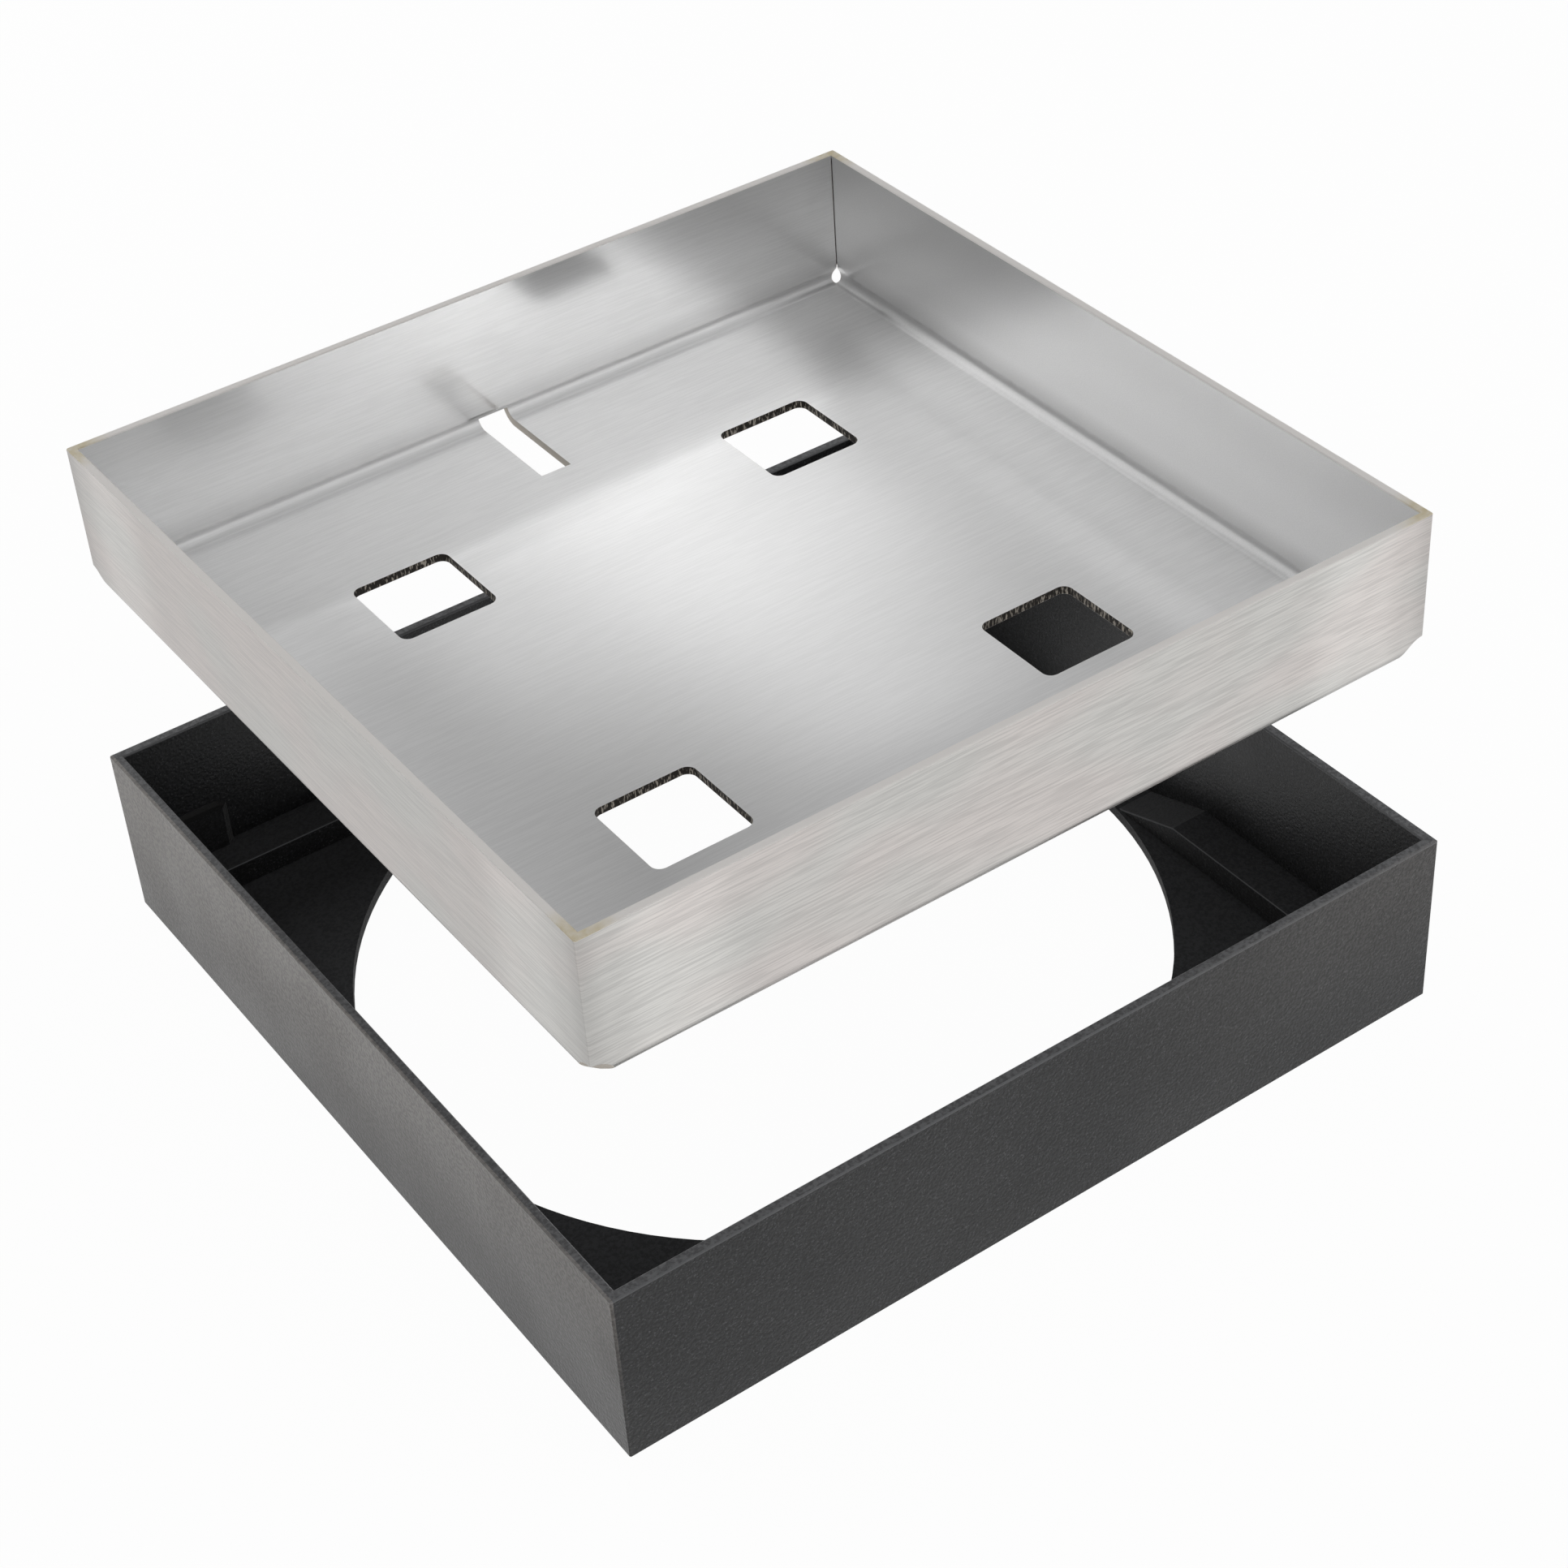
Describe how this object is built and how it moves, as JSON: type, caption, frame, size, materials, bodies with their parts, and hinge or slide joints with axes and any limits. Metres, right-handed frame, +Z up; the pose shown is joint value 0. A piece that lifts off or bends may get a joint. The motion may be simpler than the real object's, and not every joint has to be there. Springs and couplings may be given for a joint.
{
  "type": "recessed access cover",
  "caption": "Square access cover: a folded steel infill tray with drain holes and a key slot, lifted above a moulded frame with a round opening.",
  "frame": {"origin": "centre of the frame's underside, on the surface it is set on", "axes": "+Z up through the opening, X and Y along the walls, the key slot at the +Y wall"},
  "size_m": [0.327, 0.327, 0.1986],
  "materials": {
    "brushed_stainless_sheet": "brushed along the walls, satin inside",
    "moulded_frame_plastic": "matte charcoal with a fine grain"
  },
  "bodies": {
    "root": {"recess_tray": "brushed_stainless_sheet", "cover_frame": "moulded_frame_plastic"}
  },
  "joints": []
}
